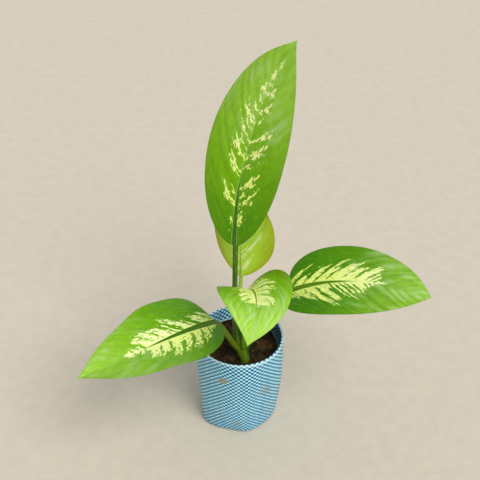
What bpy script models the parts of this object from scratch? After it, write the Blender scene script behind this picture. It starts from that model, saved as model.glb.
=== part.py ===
# A young dieffenbachia with five leaves in a small grow bag of woven plastic tape.
# Metres, +Z up. The origin is at the middle of the bag's underside, and the plant's front faces -Y.

import math

import bmesh
import bpy
from mathutils import Matrix, Vector

# Clearance between solids that touch
GAP = 0.0003
STEM_GAP = 0.0004

# Grow bag
BAG_HEIGHT = 0.118
RIM_RADIUS_X = 0.0518
RIM_RADIUS_Y = 0.0550
BASE_RADIUS = 0.0425
BASE_CORNERS = ((-148, 0.0072, 26), (-78, 0.0030, 16), (12, 0.0020, 25), (105, 0.0035, 30))
BASE_ROUNDING = 0.004
BAG_BELLY = 2.2
BAG_WALL = 0.001
CUFF_DEPTH = 0.0155
CUFF_FOLD = 0.0028
CUFF_LEAN = 0.0035
CUFF_SAG = 0.0010
CUFF_STEPS = (0.35, 0.70, 1.00)
CUFF_THINNING = 0.25
CUFF_HEM_RISE = 0.0002
ARC_STEPS = 4
BAG_SEGMENTS = 48
WALL_HEIGHTS = (0.012, 0.030, 0.055, 0.082, 0.104)

# Soil
SOIL_HEIGHT = 0.0965
SOIL_BUMP = 0.0016
SOIL_DIP = 0.0035
SOIL_DIP_AT = (-0.020, -0.004)
SOIL_DIP_SIZE = (0.014, 0.012)
SOIL_RINGS = 7

# Stem
STEM_ROOT = Vector((0.0080, -0.0215, 0.0700))
STEM_AT_SOIL = Vector((0.0057, -0.0195, 0.0975))
STEM_MIDDLE = Vector((0.0010, -0.0172, 0.1160))
STEM_TOP = Vector((-0.0036, -0.0150, 0.1325))
STEM_SOIL_SHARE = 0.43
STEM_LENGTH = 0.064
STEM_RADIUS_FOOT = 0.0062
STEM_RADIUS_TOP = 0.0047
STEM_END_NARROWING = 0.72
STEM_END_ROUNDING = 0.0015
STEM_RING_RISE = 0.0004
STEM_RING_PITCH = 0.0125
STEM_RING_WIDTH = 0.0012
STEM_SIDES = 16
STEM_SECTIONS = 16
SHEATH_LENGTH = 0.010
SHEATH_STEPS = 4
SHEATH_INSET = 0.62
SHEATH_NARROWING = 0.20

# Leaf blades
BLADE_THICKNESS = 0.0009
BLADE_EDGE = 0.0005
BLADE_ROWS = 20
BLADE_COLUMNS = 8
BLADE_FIRST_ROW = 0.04
EDGE_THINNING = 0.25
TIP_REACH = 0.06
EDGE_WAVES = 14
LEFT_WAVE_START = 0.3
RIGHT_WAVE_START = 2.0
PETIOLE_SIDES = 10
PETIOLE_SECTIONS = 10
PETIOLE_SLIMMING = 1.5
PETIOLE_SEAT = 0.6
NODE_STEP = 0.02
SLEEVE_LENGTH = 0.0030
SLEEVE_WALL = 0.0011
SLEEVE_SLIMMING = 4
MIDRIB_RADIUS_TIP = 0.0007
MIDRIB_PLACES = (0.06, 0.14, 0.24, 0.36, 0.50, 0.64, 0.78, 0.90, 0.97)
MIDRIB_DEPTH = 0.7
MIDRIB_NARROWING = 0.6
NORMAL_STEP_ALONG = 0.01
NORMAL_STEP_ACROSS = 0.1
NORMAL_MARGIN = 0.98
SMOOTH_ANGLE = math.radians(40)

# Each leaf: the blade's base, its heading and rise there, how it rolls, arches, sweeps and twists
# along its length, its size, how blunt its base and how fine its tip, how much its tip is drawn out
# to a point, the fold of its two halves at the base and the tip, how far its edges curl down, and the
# petiole that carries it: its place and side on the stem, how far it leans out there, its radius at
# both ends and how it bows. Half width, bluntness, taper and curl are given for the left and the
# right half, which grow a little unequal.
LEAVES = {
    "leaf_top": {
        "base": (-0.0061, 0.0000, 0.2475), "heading": 88.7, "rise": 73.4, "roll": 32.3,
        "arch": (4, 5), "sweep": (32.2, 36.3), "twist": 3.5, "length": 0.2424,
        "half_width": (0.0496, 0.0498), "bluntness": (0.54, 0.62), "taper": (0.70, 0.79),
        "point": 0.7, "fold": (8.8, 6.3), "curl": (0.101, 0.094), "wave": 0.0004,
        "stem_place": 1, "stem_side": 0, "lean": 0, "petiole_radius": (0.0046, 0.0030),
        "bow": (0.018, 0.050),
    },
    "leaf_back": {
        "base": (0.0007, 0.0374, 0.1760), "heading": 55.6, "rise": 91, "roll": -9.4,
        "arch": (1.2, 3.2), "sweep": (3.6, 2.2), "twist": 5.3, "length": 0.1338,
        "half_width": (0.0374, 0.0398), "bluntness": (0.63, 0.71), "taper": (0.81, 0.87),
        "point": 0.3, "fold": (-8, 3), "curl": (0.093, 0.130), "wave": 0.0008,
        "stem_place": 0.74, "stem_side": 120, "lean": 0.8, "petiole_radius": (0.0032, 0.0023),
        "bow": (0.018, 0.016),
    },
    "leaf_front": {
        "base": (0.0061, -0.0216, 0.1973), "heading": -68.5, "rise": 51.4, "roll": -9.1,
        "arch": (72.6, 55.6), "sweep": (45.6, 28.4), "twist": 35.3, "length": 0.1483,
        "half_width": (0.0429, 0.0429), "bluntness": (0.70, 0.62), "taper": (1.13, 1.06),
        "point": 0.25, "fold": (37, 1.6), "curl": (0.097, 0.125), "wave": 0.0002,
        "stem_place": 0.74, "stem_side": -58, "lean": 0.95, "petiole_radius": (0.0030, 0.0026),
        "bow": (0.018, 0.012),
    },
    "leaf_right": {
        "base": (0.0561, -0.0051, 0.1864), "heading": -18.5, "rise": 36.3, "roll": -18.8,
        "arch": (31.7, 23.2), "sweep": (29.3, 28.1), "twist": -7.8, "length": 0.1725,
        "half_width": (0.0453, 0.0469), "bluntness": (0.35, 0.30), "taper": (0.705, 0.70),
        "point": 0.5, "fold": (21.8, -6.8), "curl": (0.083, 0.049), "wave": 0.0004,
        "stem_place": 0.66, "stem_side": 16, "lean": 0.9, "petiole_radius": (0.0036, 0.0028),
        "bow": (0.016, 0.020),
    },
    "leaf_left": {
        "base": (-0.0269, -0.0305, 0.1631), "heading": 221.7, "rise": 18.9, "roll": 4.3,
        "arch": (32.3, 12.1), "sweep": (-12.1, 32.5), "twist": 4.5, "length": 0.1833,
        "half_width": (0.0520, 0.0534), "bluntness": (0.60, 0.23), "taper": (0.90, 0.79),
        "point": 0.7, "fold": (4.5, 16.2), "curl": (-0.064, 0.016), "wave": 0.0017,
        "stem_place": 0.75, "stem_side": 208, "lean": 0.9, "petiole_radius": (0.0042, 0.0031),
        "bow": (0.010, 0.010),
    },
}

# Colours, linear RGB
BLUE_TAPE = (0.20, 0.42, 0.52, 1.0)
DARK_SOIL = (0.020, 0.013, 0.008, 1.0)
STEM_GREEN = (0.075, 0.150, 0.010, 1.0)
LEAF_GREEN = (0.160, 0.400, 0.022, 1.0)
YOUNG_GREEN = (0.280, 0.500, 0.030, 1.0)


def clear_scene():
    for obj in list(bpy.data.objects):
        bpy.data.objects.remove(obj, do_unlink=True)


def material(name, colour, roughness):
    made = bpy.data.materials.new(name)
    made.use_nodes = True
    shader = made.node_tree.nodes["Principled BSDF"]
    shader.inputs["Base Color"].default_value = colour
    shader.inputs["Roughness"].default_value = roughness
    shader.inputs["Metallic"].default_value = 0.0
    return made


def mesh_object(name, points, faces, look=None):
    mesh = bpy.data.meshes.new(name)
    mesh.from_pydata([tuple(point) for point in points], [], faces)
    shape = bmesh.new()
    shape.from_mesh(mesh)
    bmesh.ops.recalc_face_normals(shape, faces=shape.faces)
    shape.to_mesh(mesh)
    shape.free()
    mesh.shade_smooth()
    mesh.set_sharp_from_angle(angle=SMOOTH_ANGLE)
    obj = bpy.data.objects.new(name, mesh)
    bpy.context.scene.collection.objects.link(obj)
    if look:
        mesh.materials.append(look)
    return obj


def combine(obj, other, operation):
    """Applies one Boolean of other to obj, and removes other."""
    cut = obj.modifiers.new(operation.lower(), "BOOLEAN")
    cut.operation = operation
    cut.solver = "EXACT"
    cut.object = other
    graph = bpy.context.evaluated_depsgraph_get()
    result = bpy.data.meshes.new_from_object(obj.evaluated_get(graph))
    obj.modifiers.remove(cut)
    obj.data = result
    bpy.data.objects.remove(other, do_unlink=True)


def set_origin(obj, point):
    obj.data.transform(Matrix.Translation(-Vector(point)))
    obj.location = point


def loft(rings):
    """Points and triangles of a skin through rings of equal length, with a fan at each end.

    Each square is split from its lower corner at one column to its upper corner at the next, so that
    two skins with the same columns and heights stay evenly apart.
    """
    count = len(rings[0])
    points = [point for ring in rings for point in ring]
    faces = []
    for row in range(len(rings) - 1):
        for column in range(count):
            after = (column + 1) % count
            here = row * count
            there = here + count
            if rings[row][column].z <= rings[row + 1][column].z:
                faces.append((here + column, here + after, there + after))
                faces.append((here + column, there + after, there + column))
            else:
                faces.append((here + column, here + after, there + column))
                faces.append((here + after, there + after, there + column))
    for ring, start in ((rings[0], 0), (rings[-1], (len(rings) - 1) * count)):
        points.append(sum(ring, Vector()) / count)
        for column in range(count):
            after = (column + 1) % count
            faces.append((start + column, start + after, len(points) - 1))
    return points, faces


def bezier(a, b, c, d, t):
    s = 1 - t
    return a * s**3 + b * 3 * s * s * t + c * 3 * s * t * t + d * t**3


def between(pair, share):
    return pair[0] + (pair[1] - pair[0]) * share


def tube(centres, radii, sides):
    """Rings of a round tube along the centres, turned as little as possible from ring to ring."""
    rings = []
    across = None
    for index, centre in enumerate(centres):
        before = centres[max(index - 1, 0)]
        after = centres[min(index + 1, len(centres) - 1)]
        along = (after - before).normalized()
        if across is None:
            across = along.orthogonal()
        across = (across - along * across.dot(along)).normalized()
        other = along.cross(across)
        ring = []
        for side in range(sides):
            angle = 2 * math.pi * side / sides
            ring.append(centre + (across * math.cos(angle) + other * math.sin(angle)) * radii[index])
        rings.append(ring)
    return rings


def bag_radius(angle, height):
    """Outer radius of the bag: an oval rim over a base with soft corners."""
    rim = 1 / math.hypot(math.cos(angle) / RIM_RADIUS_X, math.sin(angle) / RIM_RADIUS_Y)
    base = BASE_RADIUS
    for corner, rise, width in BASE_CORNERS:
        away = (math.degrees(angle) - corner + 180) % 360 - 180
        base += rise * math.exp(-((away / width) ** 2))
    climb = min(max(height / BAG_HEIGHT, 0), 1)
    return base + (rim - base) * (1 - (1 - climb) ** BAG_BELLY)


def bag_point(angle, inset, height):
    radius = bag_radius(angle, height) - inset
    return Vector((radius * math.cos(angle), radius * math.sin(angle), height))


def cuff_inset(angle, share):
    """How far the cuff's inner face stands in from the outer wall, from 0 at the rim to 1 at its hem."""
    lean = CUFF_LEAN + CUFF_SAG * math.sin(2 * angle + 0.6) + 0.5 * CUFF_SAG * math.sin(5 * angle)
    return CUFF_FOLD + lean * share**1.5


def cuff_drop(angle, share):
    return share * (CUFF_DEPTH + CUFF_SAG * math.sin(3 * angle + 1.0))


def bag_profile(angle):
    """Inset and height of each profile point, from the underside's edge over the rim to the inner floor."""
    profile = []
    for step in range(ARC_STEPS + 1):
        turn = math.pi / 2 * step / ARC_STEPS
        profile.append((BASE_ROUNDING * (1 - math.sin(turn)), BASE_ROUNDING * (1 - math.cos(turn))))
    profile.extend((0, height) for height in WALL_HEIGHTS)
    fold = CUFF_FOLD / 2
    top = BAG_HEIGHT - fold
    for step in range(ARC_STEPS + 1):
        turn = math.pi * step / ARC_STEPS
        profile.append((fold * (1 - math.cos(turn)), top + fold * math.sin(turn)))
    for share in CUFF_STEPS:
        profile.append((cuff_inset(angle, share), top - cuff_drop(angle, share)))
    for share in reversed(CUFF_STEPS):
        wall = BAG_WALL * (1 - CUFF_THINNING * (1 - share))
        profile.append((cuff_inset(angle, share) - wall, top - cuff_drop(angle, share) + CUFF_HEM_RISE))
    profile.append((fold, BAG_HEIGHT - 2 * BAG_WALL))
    profile.extend((BAG_WALL, height) for height in reversed(WALL_HEIGHTS))
    inner = BASE_ROUNDING - BAG_WALL
    for step in range(ARC_STEPS):
        turn = math.pi / 2 * step / (ARC_STEPS - 1)
        profile.append((BAG_WALL + inner * (1 - math.cos(turn)), BASE_ROUNDING - inner * math.sin(turn)))
    return profile


def grow_bag(look):
    columns = []
    for segment in range(BAG_SEGMENTS):
        angle = 2 * math.pi * segment / BAG_SEGMENTS
        columns.append([bag_point(angle, inset, height) for inset, height in bag_profile(angle)])
    rings = [list(ring) for ring in zip(*columns)]
    points, faces = loft(rings)
    return mesh_object("grow_bag", points, faces, look)


def soil_height(x, y):
    """Uneven soil top: low mounds and hollows by formula, with a shallow dip left of the stem."""
    bumps = math.sin(95 * x + 1.3) * math.cos(80 * y - 0.4)
    bumps += 0.6 * math.sin(170 * x - 130 * y + 2.1)
    bumps += 0.4 * math.cos(260 * x + 210 * y)
    away_x = (x - SOIL_DIP_AT[0]) / SOIL_DIP_SIZE[0]
    away_y = (y - SOIL_DIP_AT[1]) / SOIL_DIP_SIZE[1]
    return SOIL_HEIGHT + SOIL_BUMP * bumps - SOIL_DIP * math.exp(-(away_x**2) - away_y**2)


def potting_soil(stem_hole, look):
    """Soil that fills the bag, with a plain hole for the stem."""
    angles = [2 * math.pi * segment / BAG_SEGMENTS for segment in range(BAG_SEGMENTS)]
    inner = BASE_ROUNDING - BAG_WALL
    floor = BAG_WALL + GAP
    levels = [(inner, floor), (inner * (1 - math.sqrt(0.5)), floor + inner * (1 - math.sqrt(0.5)))]
    levels.append((0, floor + inner))
    levels.extend((0, height) for height in WALL_HEIGHTS[:-1])
    skin = []
    for inset, height in levels:
        skin.append([bag_point(angle, BAG_WALL + GAP + inset, height) for angle in angles])
    for ring_index in range(SOIL_RINGS):
        share = 1 - ring_index / SOIL_RINGS
        ring = []
        for angle in angles:
            radius = (bag_radius(angle, SOIL_HEIGHT) - BAG_WALL - 2 * GAP) * share
            x = radius * math.cos(angle)
            y = radius * math.sin(angle)
            ring.append(Vector((x, y, soil_height(x, y))))
        skin.append(ring)
    points, faces = loft(skin)
    soil = mesh_object("potting_soil", points, faces, look)
    combine(soil, stem_hole, "DIFFERENCE")
    return soil


def stem_centre(t):
    """Point on the stem's axis, from its foot in the soil at 0 to its top at 1."""
    if t < STEM_SOIL_SHARE:
        return STEM_ROOT.lerp(STEM_AT_SOIL, t / STEM_SOIL_SHARE)
    above = (t - STEM_SOIL_SHARE) / (1 - STEM_SOIL_SHARE)
    return bezier(STEM_AT_SOIL, STEM_AT_SOIL.lerp(STEM_MIDDLE, 0.4), STEM_MIDDLE, STEM_TOP, above)


def stem_radius(t):
    """The stem narrows upwards and swells a little at each leaf scar."""
    away = (t * STEM_LENGTH) % STEM_RING_PITCH - STEM_RING_PITCH / 2
    ring = math.exp(-((away / STEM_RING_WIDTH) ** 2))
    return between((STEM_RADIUS_FOOT, STEM_RADIUS_TOP), t) + STEM_RING_RISE * ring


def stem_solid(name, clearance, look=None):
    """The stem, or with a clearance the space that it needs in what surrounds it."""
    centres = []
    radii = []
    for section in range(STEM_SECTIONS + 1):
        t = section / STEM_SECTIONS
        centres.append(stem_centre(t))
        radii.append(stem_radius(t) + clearance)
    first = (centres[0] - centres[1]).normalized()
    last = (centres[-1] - centres[-2]).normalized()
    centres.insert(0, centres[0] + first * (STEM_END_ROUNDING + clearance))
    radii.insert(0, STEM_RADIUS_FOOT * STEM_END_NARROWING + clearance)
    centres.append(centres[-1] + last * (STEM_END_ROUNDING + clearance))
    radii.append(STEM_RADIUS_TOP * STEM_END_NARROWING + clearance)
    points, faces = loft(tube(centres, radii, STEM_SIDES))
    return mesh_object(name, points, faces, look)


class Blade:
    """A leaf blade's surface.

    At point(u, s), u runs from 0 at the base to 1 at the tip, and s from -1 at the left edge to 1 at the
    right edge.
    """

    def __init__(self, form, steps=60):
        self.form = form
        heading = math.radians(form["heading"])
        rise = math.radians(form["rise"])
        roll = math.radians(form["roll"])
        flat = Vector((math.cos(heading), math.sin(heading), 0))
        along = flat * math.cos(rise) + Vector((0, 0, math.sin(rise)))
        level = Vector((flat.y, -flat.x, 0))
        upward = level.cross(along)
        side = level * math.cos(roll) + upward * math.sin(roll)
        up = upward * math.cos(roll) - level * math.sin(roll)
        frame = Matrix((along, side, up)).transposed()
        place = Vector(form["base"])
        self.places = [place]
        self.frames = [frame]
        stride = form["length"] / steps
        for index in range(steps):
            share = (index + 0.5) / steps
            arch = between(form["arch"], share)
            sweep = between(form["sweep"], share)
            turn = Vector((form["twist"], arch, sweep)) * (math.radians(1) / steps)
            amount = turn.length
            half = Matrix.Rotation(amount / 2, 3, turn) if amount else Matrix.Identity(3)
            place = place + (frame @ half).col[0] * stride
            frame = frame @ half @ half
            self.places.append(place)
            self.frames.append(frame)

    def station(self, u):
        exact = u * (len(self.places) - 1)
        index = min(int(exact), len(self.places) - 2)
        share = exact - index
        place = self.places[index].lerp(self.places[index + 1], share)
        first, second = self.frames[index], self.frames[index + 1]
        axes = [first.col[k].lerp(second.col[k], share).normalized() for k in range(3)]
        return place, axes

    def half_width(self, u, half):
        """Width of one half of the blade, 0 for the left one and 1 for the right one."""
        bluntness = self.form["bluntness"][half]
        taper = self.form["taper"][half]
        widest = bluntness / (bluntness + taper)
        grow = max(u / widest, 0) ** bluntness
        shrink = max((1 - u) / (1 - widest), 0) ** taper
        drawn_out = 1 - self.form["point"] * math.exp((u - 1) / TIP_REACH)
        return max(self.form["half_width"][half] * grow * shrink * drawn_out, BLADE_EDGE)

    def point(self, u, s):
        form = self.form
        half = 1 if s > 0 else 0
        place, (_, side, up) = self.station(u)
        reach = self.half_width(u, half) * abs(s)
        fold = math.radians(between(form["fold"], u))
        start = RIGHT_WAVE_START if s > 0 else LEFT_WAVE_START
        wave = form["wave"] * math.sin(EDGE_WAVES * u + start) * s * s * math.sin(math.pi * u)
        rise = reach * math.sin(fold) - form["curl"][half] * reach * abs(s) + wave
        return place + side * math.copysign(reach * math.cos(fold), s) + up * rise

    def normal(self, u, s):
        low, high = max(u - NORMAL_STEP_ALONG, 0), min(u + NORMAL_STEP_ALONG, 1)
        left, right = max(s - NORMAL_STEP_ACROSS, -1), min(s + NORMAL_STEP_ACROSS, 1)
        along = self.point(high, s * NORMAL_MARGIN) - self.point(low, s * NORMAL_MARGIN)
        across = self.point((low + high) / 2, right) - self.point((low + high) / 2, left)
        return across.cross(along).normalized()


def blade_solid(name, blade):
    """The blade as one closed sheet, with both faces split into triangles the same way."""
    turns = [between((BLADE_FIRST_ROW, 1), row / BLADE_ROWS) for row in range(BLADE_ROWS + 1)]
    rows = [(1 - math.cos(math.pi * turn)) / 2 for turn in turns]
    rows = [(row - rows[0]) / (rows[-1] - rows[0]) for row in rows]
    columns = [-1 + 2 * column / BLADE_COLUMNS for column in range(BLADE_COLUMNS + 1)]
    points = []
    for face in (0.5, -0.5):
        for u in rows:
            for s in columns:
                reach = BLADE_THICKNESS * face * (1 - EDGE_THINNING * s * s)
                points.append(blade.point(u, s) + blade.normal(u, s) * reach)
    wide = len(columns)
    sheet = len(rows) * wide
    faces = []
    for row in range(len(rows) - 1):
        for column in range(wide - 1):
            a = row * wide + column
            b, c, d = a + 1, a + wide + 1, a + wide
            if (column < wide // 2) == (row < 1):
                halves = ((a, b, c), (a, c, d))
            else:
                halves = ((a, b, d), (b, c, d))
            for first, second, third in halves:
                faces.append((first, second, third))
                faces.append((first + sheet, third + sheet, second + sheet))
    border = list(range(wide))
    border += [row * wide + wide - 1 for row in range(1, len(rows))]
    border += [(len(rows) - 1) * wide + column for column in range(wide - 2, -1, -1)]
    border += [row * wide for row in range(len(rows) - 2, 0, -1)]
    for index, first in enumerate(border):
        second = border[(index + 1) % len(border)]
        faces.append((first, second, second + sheet))
        faces.append((first, second + sheet, first + sheet))
    return mesh_object(name, points, faces)


def petiole_path(form, blade):
    """Centres and radii of a leaf stalk: its start on the stem, the stalk, then the blade's midrib.

    The top leaf's stalk is a sleeve over the stem's top, and the others start as a sheath beside it.
    """
    t = form["stem_place"]
    node = stem_centre(t)
    above = min(t + NODE_STEP, 1)
    up = (stem_centre(above) - stem_centre(above - 2 * NODE_STEP)).normalized()
    base, (along, _, normal) = blade.station(0)
    thick, slim = form["petiole_radius"]
    centres = []
    radii = []
    stem_side = math.radians(form["stem_side"])
    outward = Vector((math.cos(stem_side), math.sin(stem_side), 0))
    outward = (outward - up * outward.dot(up)).normalized()
    if t < 1:
        slimming = PETIOLE_SLIMMING
        beside = node + outward * stem_radius(t) * SHEATH_INSET
        for step in range(SHEATH_STEPS):
            share = step / SHEATH_STEPS
            centres.append(beside - up * SHEATH_LENGTH * (1 - share))
            radii.append(thick * (1 - SHEATH_NARROWING * (1 - share)))
    else:
        slimming = SLEEVE_SLIMMING
        beside = node - up * SLEEVE_LENGTH
        thick = stem_radius(1) + SLEEVE_WALL
    lift, drop = form["bow"]
    handle = beside + (up + outward * form["lean"]).normalized() * lift
    arrive = base - normal * slim * PETIOLE_SEAT
    approach = arrive - along * drop
    for step in range(PETIOLE_SECTIONS + 1):
        share = step / PETIOLE_SECTIONS
        centres.append(bezier(beside, handle, approach, arrive, share))
        radii.append(slim + (thick - slim) * (1 - share) ** slimming)
    for u in MIDRIB_PLACES:
        place, (_, _, normal) = blade.station(u)
        radius = between((slim, MIDRIB_RADIUS_TIP), u**MIDRIB_NARROWING)
        centres.append(place - normal * radius * MIDRIB_DEPTH)
        radii.append(radius)
    return centres, radii


def leaf(name, form, look):
    blade = Blade(form)
    shape = blade_solid(name, blade)
    centres, radii = petiole_path(form, blade)
    points, faces = loft(tube(centres, radii, PETIOLE_SIDES))
    combine(shape, mesh_object(name + "_petiole", points, faces), "UNION")
    combine(shape, stem_solid(name + "_stem_space", STEM_GAP), "DIFFERENCE")
    shape.data.materials.clear()
    shape.data.materials.append(look)
    shape.data.shade_smooth()
    shape.data.set_sharp_from_angle(angle=SMOOTH_ANGLE)
    set_origin(shape, form["base"])
    return shape


def main():
    clear_scene()
    tape = material("blue_woven_tape", BLUE_TAPE, 0.45)
    earth = material("dark_soil", DARK_SOIL, 0.95)
    stalk = material("stem_green", STEM_GREEN, 0.45)
    grown = material("leaf_green", LEAF_GREEN, 0.35)
    young = material("young_leaf_green", YOUNG_GREEN, 0.35)
    plant = bpy.data.objects.new("plant", None)
    bpy.context.scene.collection.objects.link(plant)
    grow_bag(tape)
    potting_soil(stem_solid("stem_hole", STEM_GAP), earth)
    stem = stem_solid("stem", 0, stalk)
    stem.parent = plant
    for name, form in LEAVES.items():
        look = young if name in ("leaf_back", "leaf_front") else grown
        leaf(name, form, look).parent = plant


main()
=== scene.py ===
import math

import bpy
import numpy as np
from mathutils import Matrix, Vector, noise


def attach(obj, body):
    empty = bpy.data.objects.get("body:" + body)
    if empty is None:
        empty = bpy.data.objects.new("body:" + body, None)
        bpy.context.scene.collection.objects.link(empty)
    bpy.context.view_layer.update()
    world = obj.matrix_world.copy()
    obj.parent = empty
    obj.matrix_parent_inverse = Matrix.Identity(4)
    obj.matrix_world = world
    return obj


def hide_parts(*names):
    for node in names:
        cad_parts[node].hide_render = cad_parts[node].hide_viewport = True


# Looks of a young dieffenbachia in a small grow bag of woven plastic tape.
# Metres, +Z up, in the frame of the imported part: the origin is at the middle of the bag's underside.

# Camera: height, distance and downward pitch of the view, and its angle across the picture
CAMERA_PLACE = (0.0, -0.865, 0.870)
CAMERA_PITCH = math.radians(35.4)
CAMERA_ANGLE = math.radians(28)

# Light: a wide, soft key from high on the viewer's right, and an even sky
KEY_AZIMUTH = math.radians(34)
KEY_ELEVATION = math.radians(48)
KEY_SPREAD = math.radians(32)
KEY_STRENGTH = 2.25
SKY_STRENGTH = 0.60
FLOOR_REACH = 6.0

# Grow bag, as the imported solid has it
BAG_HEIGHT = 0.118
RIM_RADIUS_X = 0.0518
RIM_RADIUS_Y = 0.0550
BASE_RADIUS = 0.0425
BASE_CORNERS = ((-148, 0.0072, 26), (-78, 0.0030, 16), (12, 0.0020, 25), (105, 0.0035, 30))
BASE_ROUNDING = 0.004
BAG_BELLY = 2.2
BAG_WALL = 0.001
CUFF_DEPTH = 0.0155
CUFF_FOLD = 0.0028
CUFF_LEAN = 0.0035
CUFF_SAG = 0.0010
BASE_EDGE_STEPS = 8
WALL_START = 0.008
WALL_END_BELOW_RIM = 0.003
WALL_STEPS = 20
RIM_STEPS = 12
CUFF_START = 0.15
CUFF_STEPS = 8

# The bag's weave: tapes round the bag, and the height of one row of cells
TAPES_ROUND = 108
ROW_HEIGHT = 0.0028
CELL_PLACES = (0.1, 0.5, 0.9)
TAPE_RELIEF = 0.00028
TAPE_FLAT_SHARE = 0.25
RELIEF_SUNK = 0.6
INNER_RELIEF = 0.4
ROW_SWAY = (0.25, 0.15)
SLOPE_STEP = 0.0004
BAG_SHEET = 0.0005
BAG_DENT = 0.0007
DENTS_ROUND = 3
DENT_CLIMB = 40
FLOOR_RINGS = (0.85, 0.6, 0.3)
FLOOR_ROWS = 12
# Soft creases up the wall: angle in degrees at half height, lean, width and depth
BAG_CREASES = (
    (-57, 22, 5, 0.0009),
    (-128, -18, 6, 0.0007),
    (-95, 34, 4, 0.0005),
    (40, 20, 6, 0.0008),
    (150, -24, 6, 0.0009),
)

# Dried mud: angle round the bag in degrees, height, size and strength
MUD_SMEARS = (
    (-112, 0.090, 0.0060, 0.75),
    (-55, 0.068, 0.0080, 0.35),
    (-92, 0.018, 0.0030, 0.60),
    (-98, 0.055, 0.0022, 0.55),
    (60, 0.050, 0.0090, 0.40),
    (150, 0.080, 0.0070, 0.50),
)

# Soil
SOIL_HEIGHT = 0.0965
SOIL_BUMP = 0.0016
SOIL_DIP = 0.0035
SOIL_DIP_AT = (-0.020, -0.004)
SOIL_DIP_SIZE = (0.014, 0.012)
SOIL_RINGS = 64
SOIL_SPOKES = 168
SOIL_CLOD = 0.00128
SOIL_GRAIN = 0.0003
CLODS_PER_METRE = 160
GRAINS_PER_METRE = 900
SOIL_GAP = 0.0006
SOIL_SIDE_HEIGHTS = (0.090, 0.070, 0.045, 0.020, 0.0035)
SOIL_SIDE_CLEARANCE = 0.0012
SOIL_FLOOR_INSET = 0.003
LUMP_SIDES = 7
LUMP_LEVELS = 4
LUMP_ROUGHNESS = 0.35
LUMP_SUNK = 0.35
LUMP_CLEARANCE = 0.0015
LUMP_SEED = 5
# Lumps on it: how many, their smallest and largest radius, and their height as a share of it
CRUMBS = (900, (0.0005, 0.0022), 0.75)
BARK_CHIPS = (26, (0.0012, 0.0024), 0.35)
PERLITE = (5, (0.0006, 0.0011), 0.85)

# Stem and stalks
STEM_ROOT = Vector((0.0080, -0.0215, 0.0700))
STEM_AT_SOIL = Vector((0.0057, -0.0195, 0.0975))
STEM_MIDDLE = Vector((0.0010, -0.0172, 0.1160))
STEM_TOP = Vector((-0.0036, -0.0150, 0.1325))
STEM_SOIL_SHARE = 0.43
STEM_LENGTH = 0.064
STEM_RADIUS_FOOT = 0.0062
STEM_RADIUS_TOP = 0.0047
STEM_RING_RISE = 0.0004
STEM_RING_PITCH = 0.0125
STEM_RING_WIDTH = 0.0012
STEM_SIDES = 36
STEM_SECTIONS = 90
SHEATH_LENGTH = 0.010
SHEATH_STEPS = 12
SHEATH_INSET = 0.62
SHEATH_NARROWING = 0.20
PETIOLE_SLIMMING = 1.5
PETIOLE_SEAT = 0.6
NODE_STEP = 0.02
SLEEVE_LENGTH = 0.0030
SLEEVE_WALL = 0.0011
SLEEVE_SLIMMING = 4
STALK_SIDES = 28
STALK_SECTIONS = 70
STALK_CHANNEL = 0.22
CHANNEL_WIDTH = 0.45
CHANNEL_RUN = 25
STEM_FLUTE = 0.02
STEM_TIP = ((0.85, 0.0006), (0.55, 0.0012), (0.15, 0.0015))
MIDRIB_SECTIONS = 90
MIDRIB_RADIUS_TIP = 0.0005
MIDRIB_DEPTH = (0.7, 1.15)
MIDRIB_SUNK = 0.45
MIDRIB_NARROWING = 0.6
MIDRIB_END = 0.97

# Leaf blades
BLADE_STEPS = 60
BLADE_ROWS = 170
BLADE_COLUMNS = 84
BLADE_THICKNESS = 0.0005
BLADE_EDGE = 0.0005
EDGE_THINNING = 0.45
TIP_REACH = 0.06
EDGE_WAVES = 14
LEFT_WAVE_START = 0.3
RIGHT_WAVE_START = 2.0
RIPPLE = 0.00055
ROWS_START = 0.02
COLUMNS_SPREAD = 0.85
VEIN_BEND = 0.6
VEIN_UNEVEN = (0.32, 0.16)
SWELL_ROUNDNESS = 0.6
HALF_LANE = 7.3
LEAF_GLOSS = 0.22
LEAF_GLOSS_TINT = (0.80, 1.0, 0.45, 1)
LEAF_ROUGHNESS = 0.33

# Sets of cream fingers: how many for each main one, their shortest reach and how much it varies,
# their width, and a shift along the midrib
FULL_SETS = ((1.0, 0.50, 0.70, 2.0, 0.0), (2.3, 0.25, 0.80, 1.5, 0.37))
LOOSE_SETS = ((1.0, 0.50, 0.75, 1.15, 0.0), (1.7, 0.20, 0.55, 0.9, 0.37))

# How far noise moves a finger along the midrib, broadly and finely, and its reach; where along it
# the finger forks and where it ends; and how strong the noise is where a fleck starts
FINGER_SWAY = 0.05
FINGER_WOBBLE = 0.03
FINGER_SHIFT = 0.16
FINGER_FORK = (0.30, 0.95)
FINGER_END = (0.95, 1.08)
FLECK_START = 0.77

# How wide a cream finger is, as half its share of the midrib, from the midrib out to its end
FULL_FINGER = ((0.0, 0.75), (0.25, 0.42), (0.55, 0.26), (0.85, 0.20), (1.0, 0.0))
LOOSE_FINGER = ((0.0, 0.13), (0.25, 0.15), (0.60, 0.30), (0.85, 0.20), (1.0, 0.0))

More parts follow.
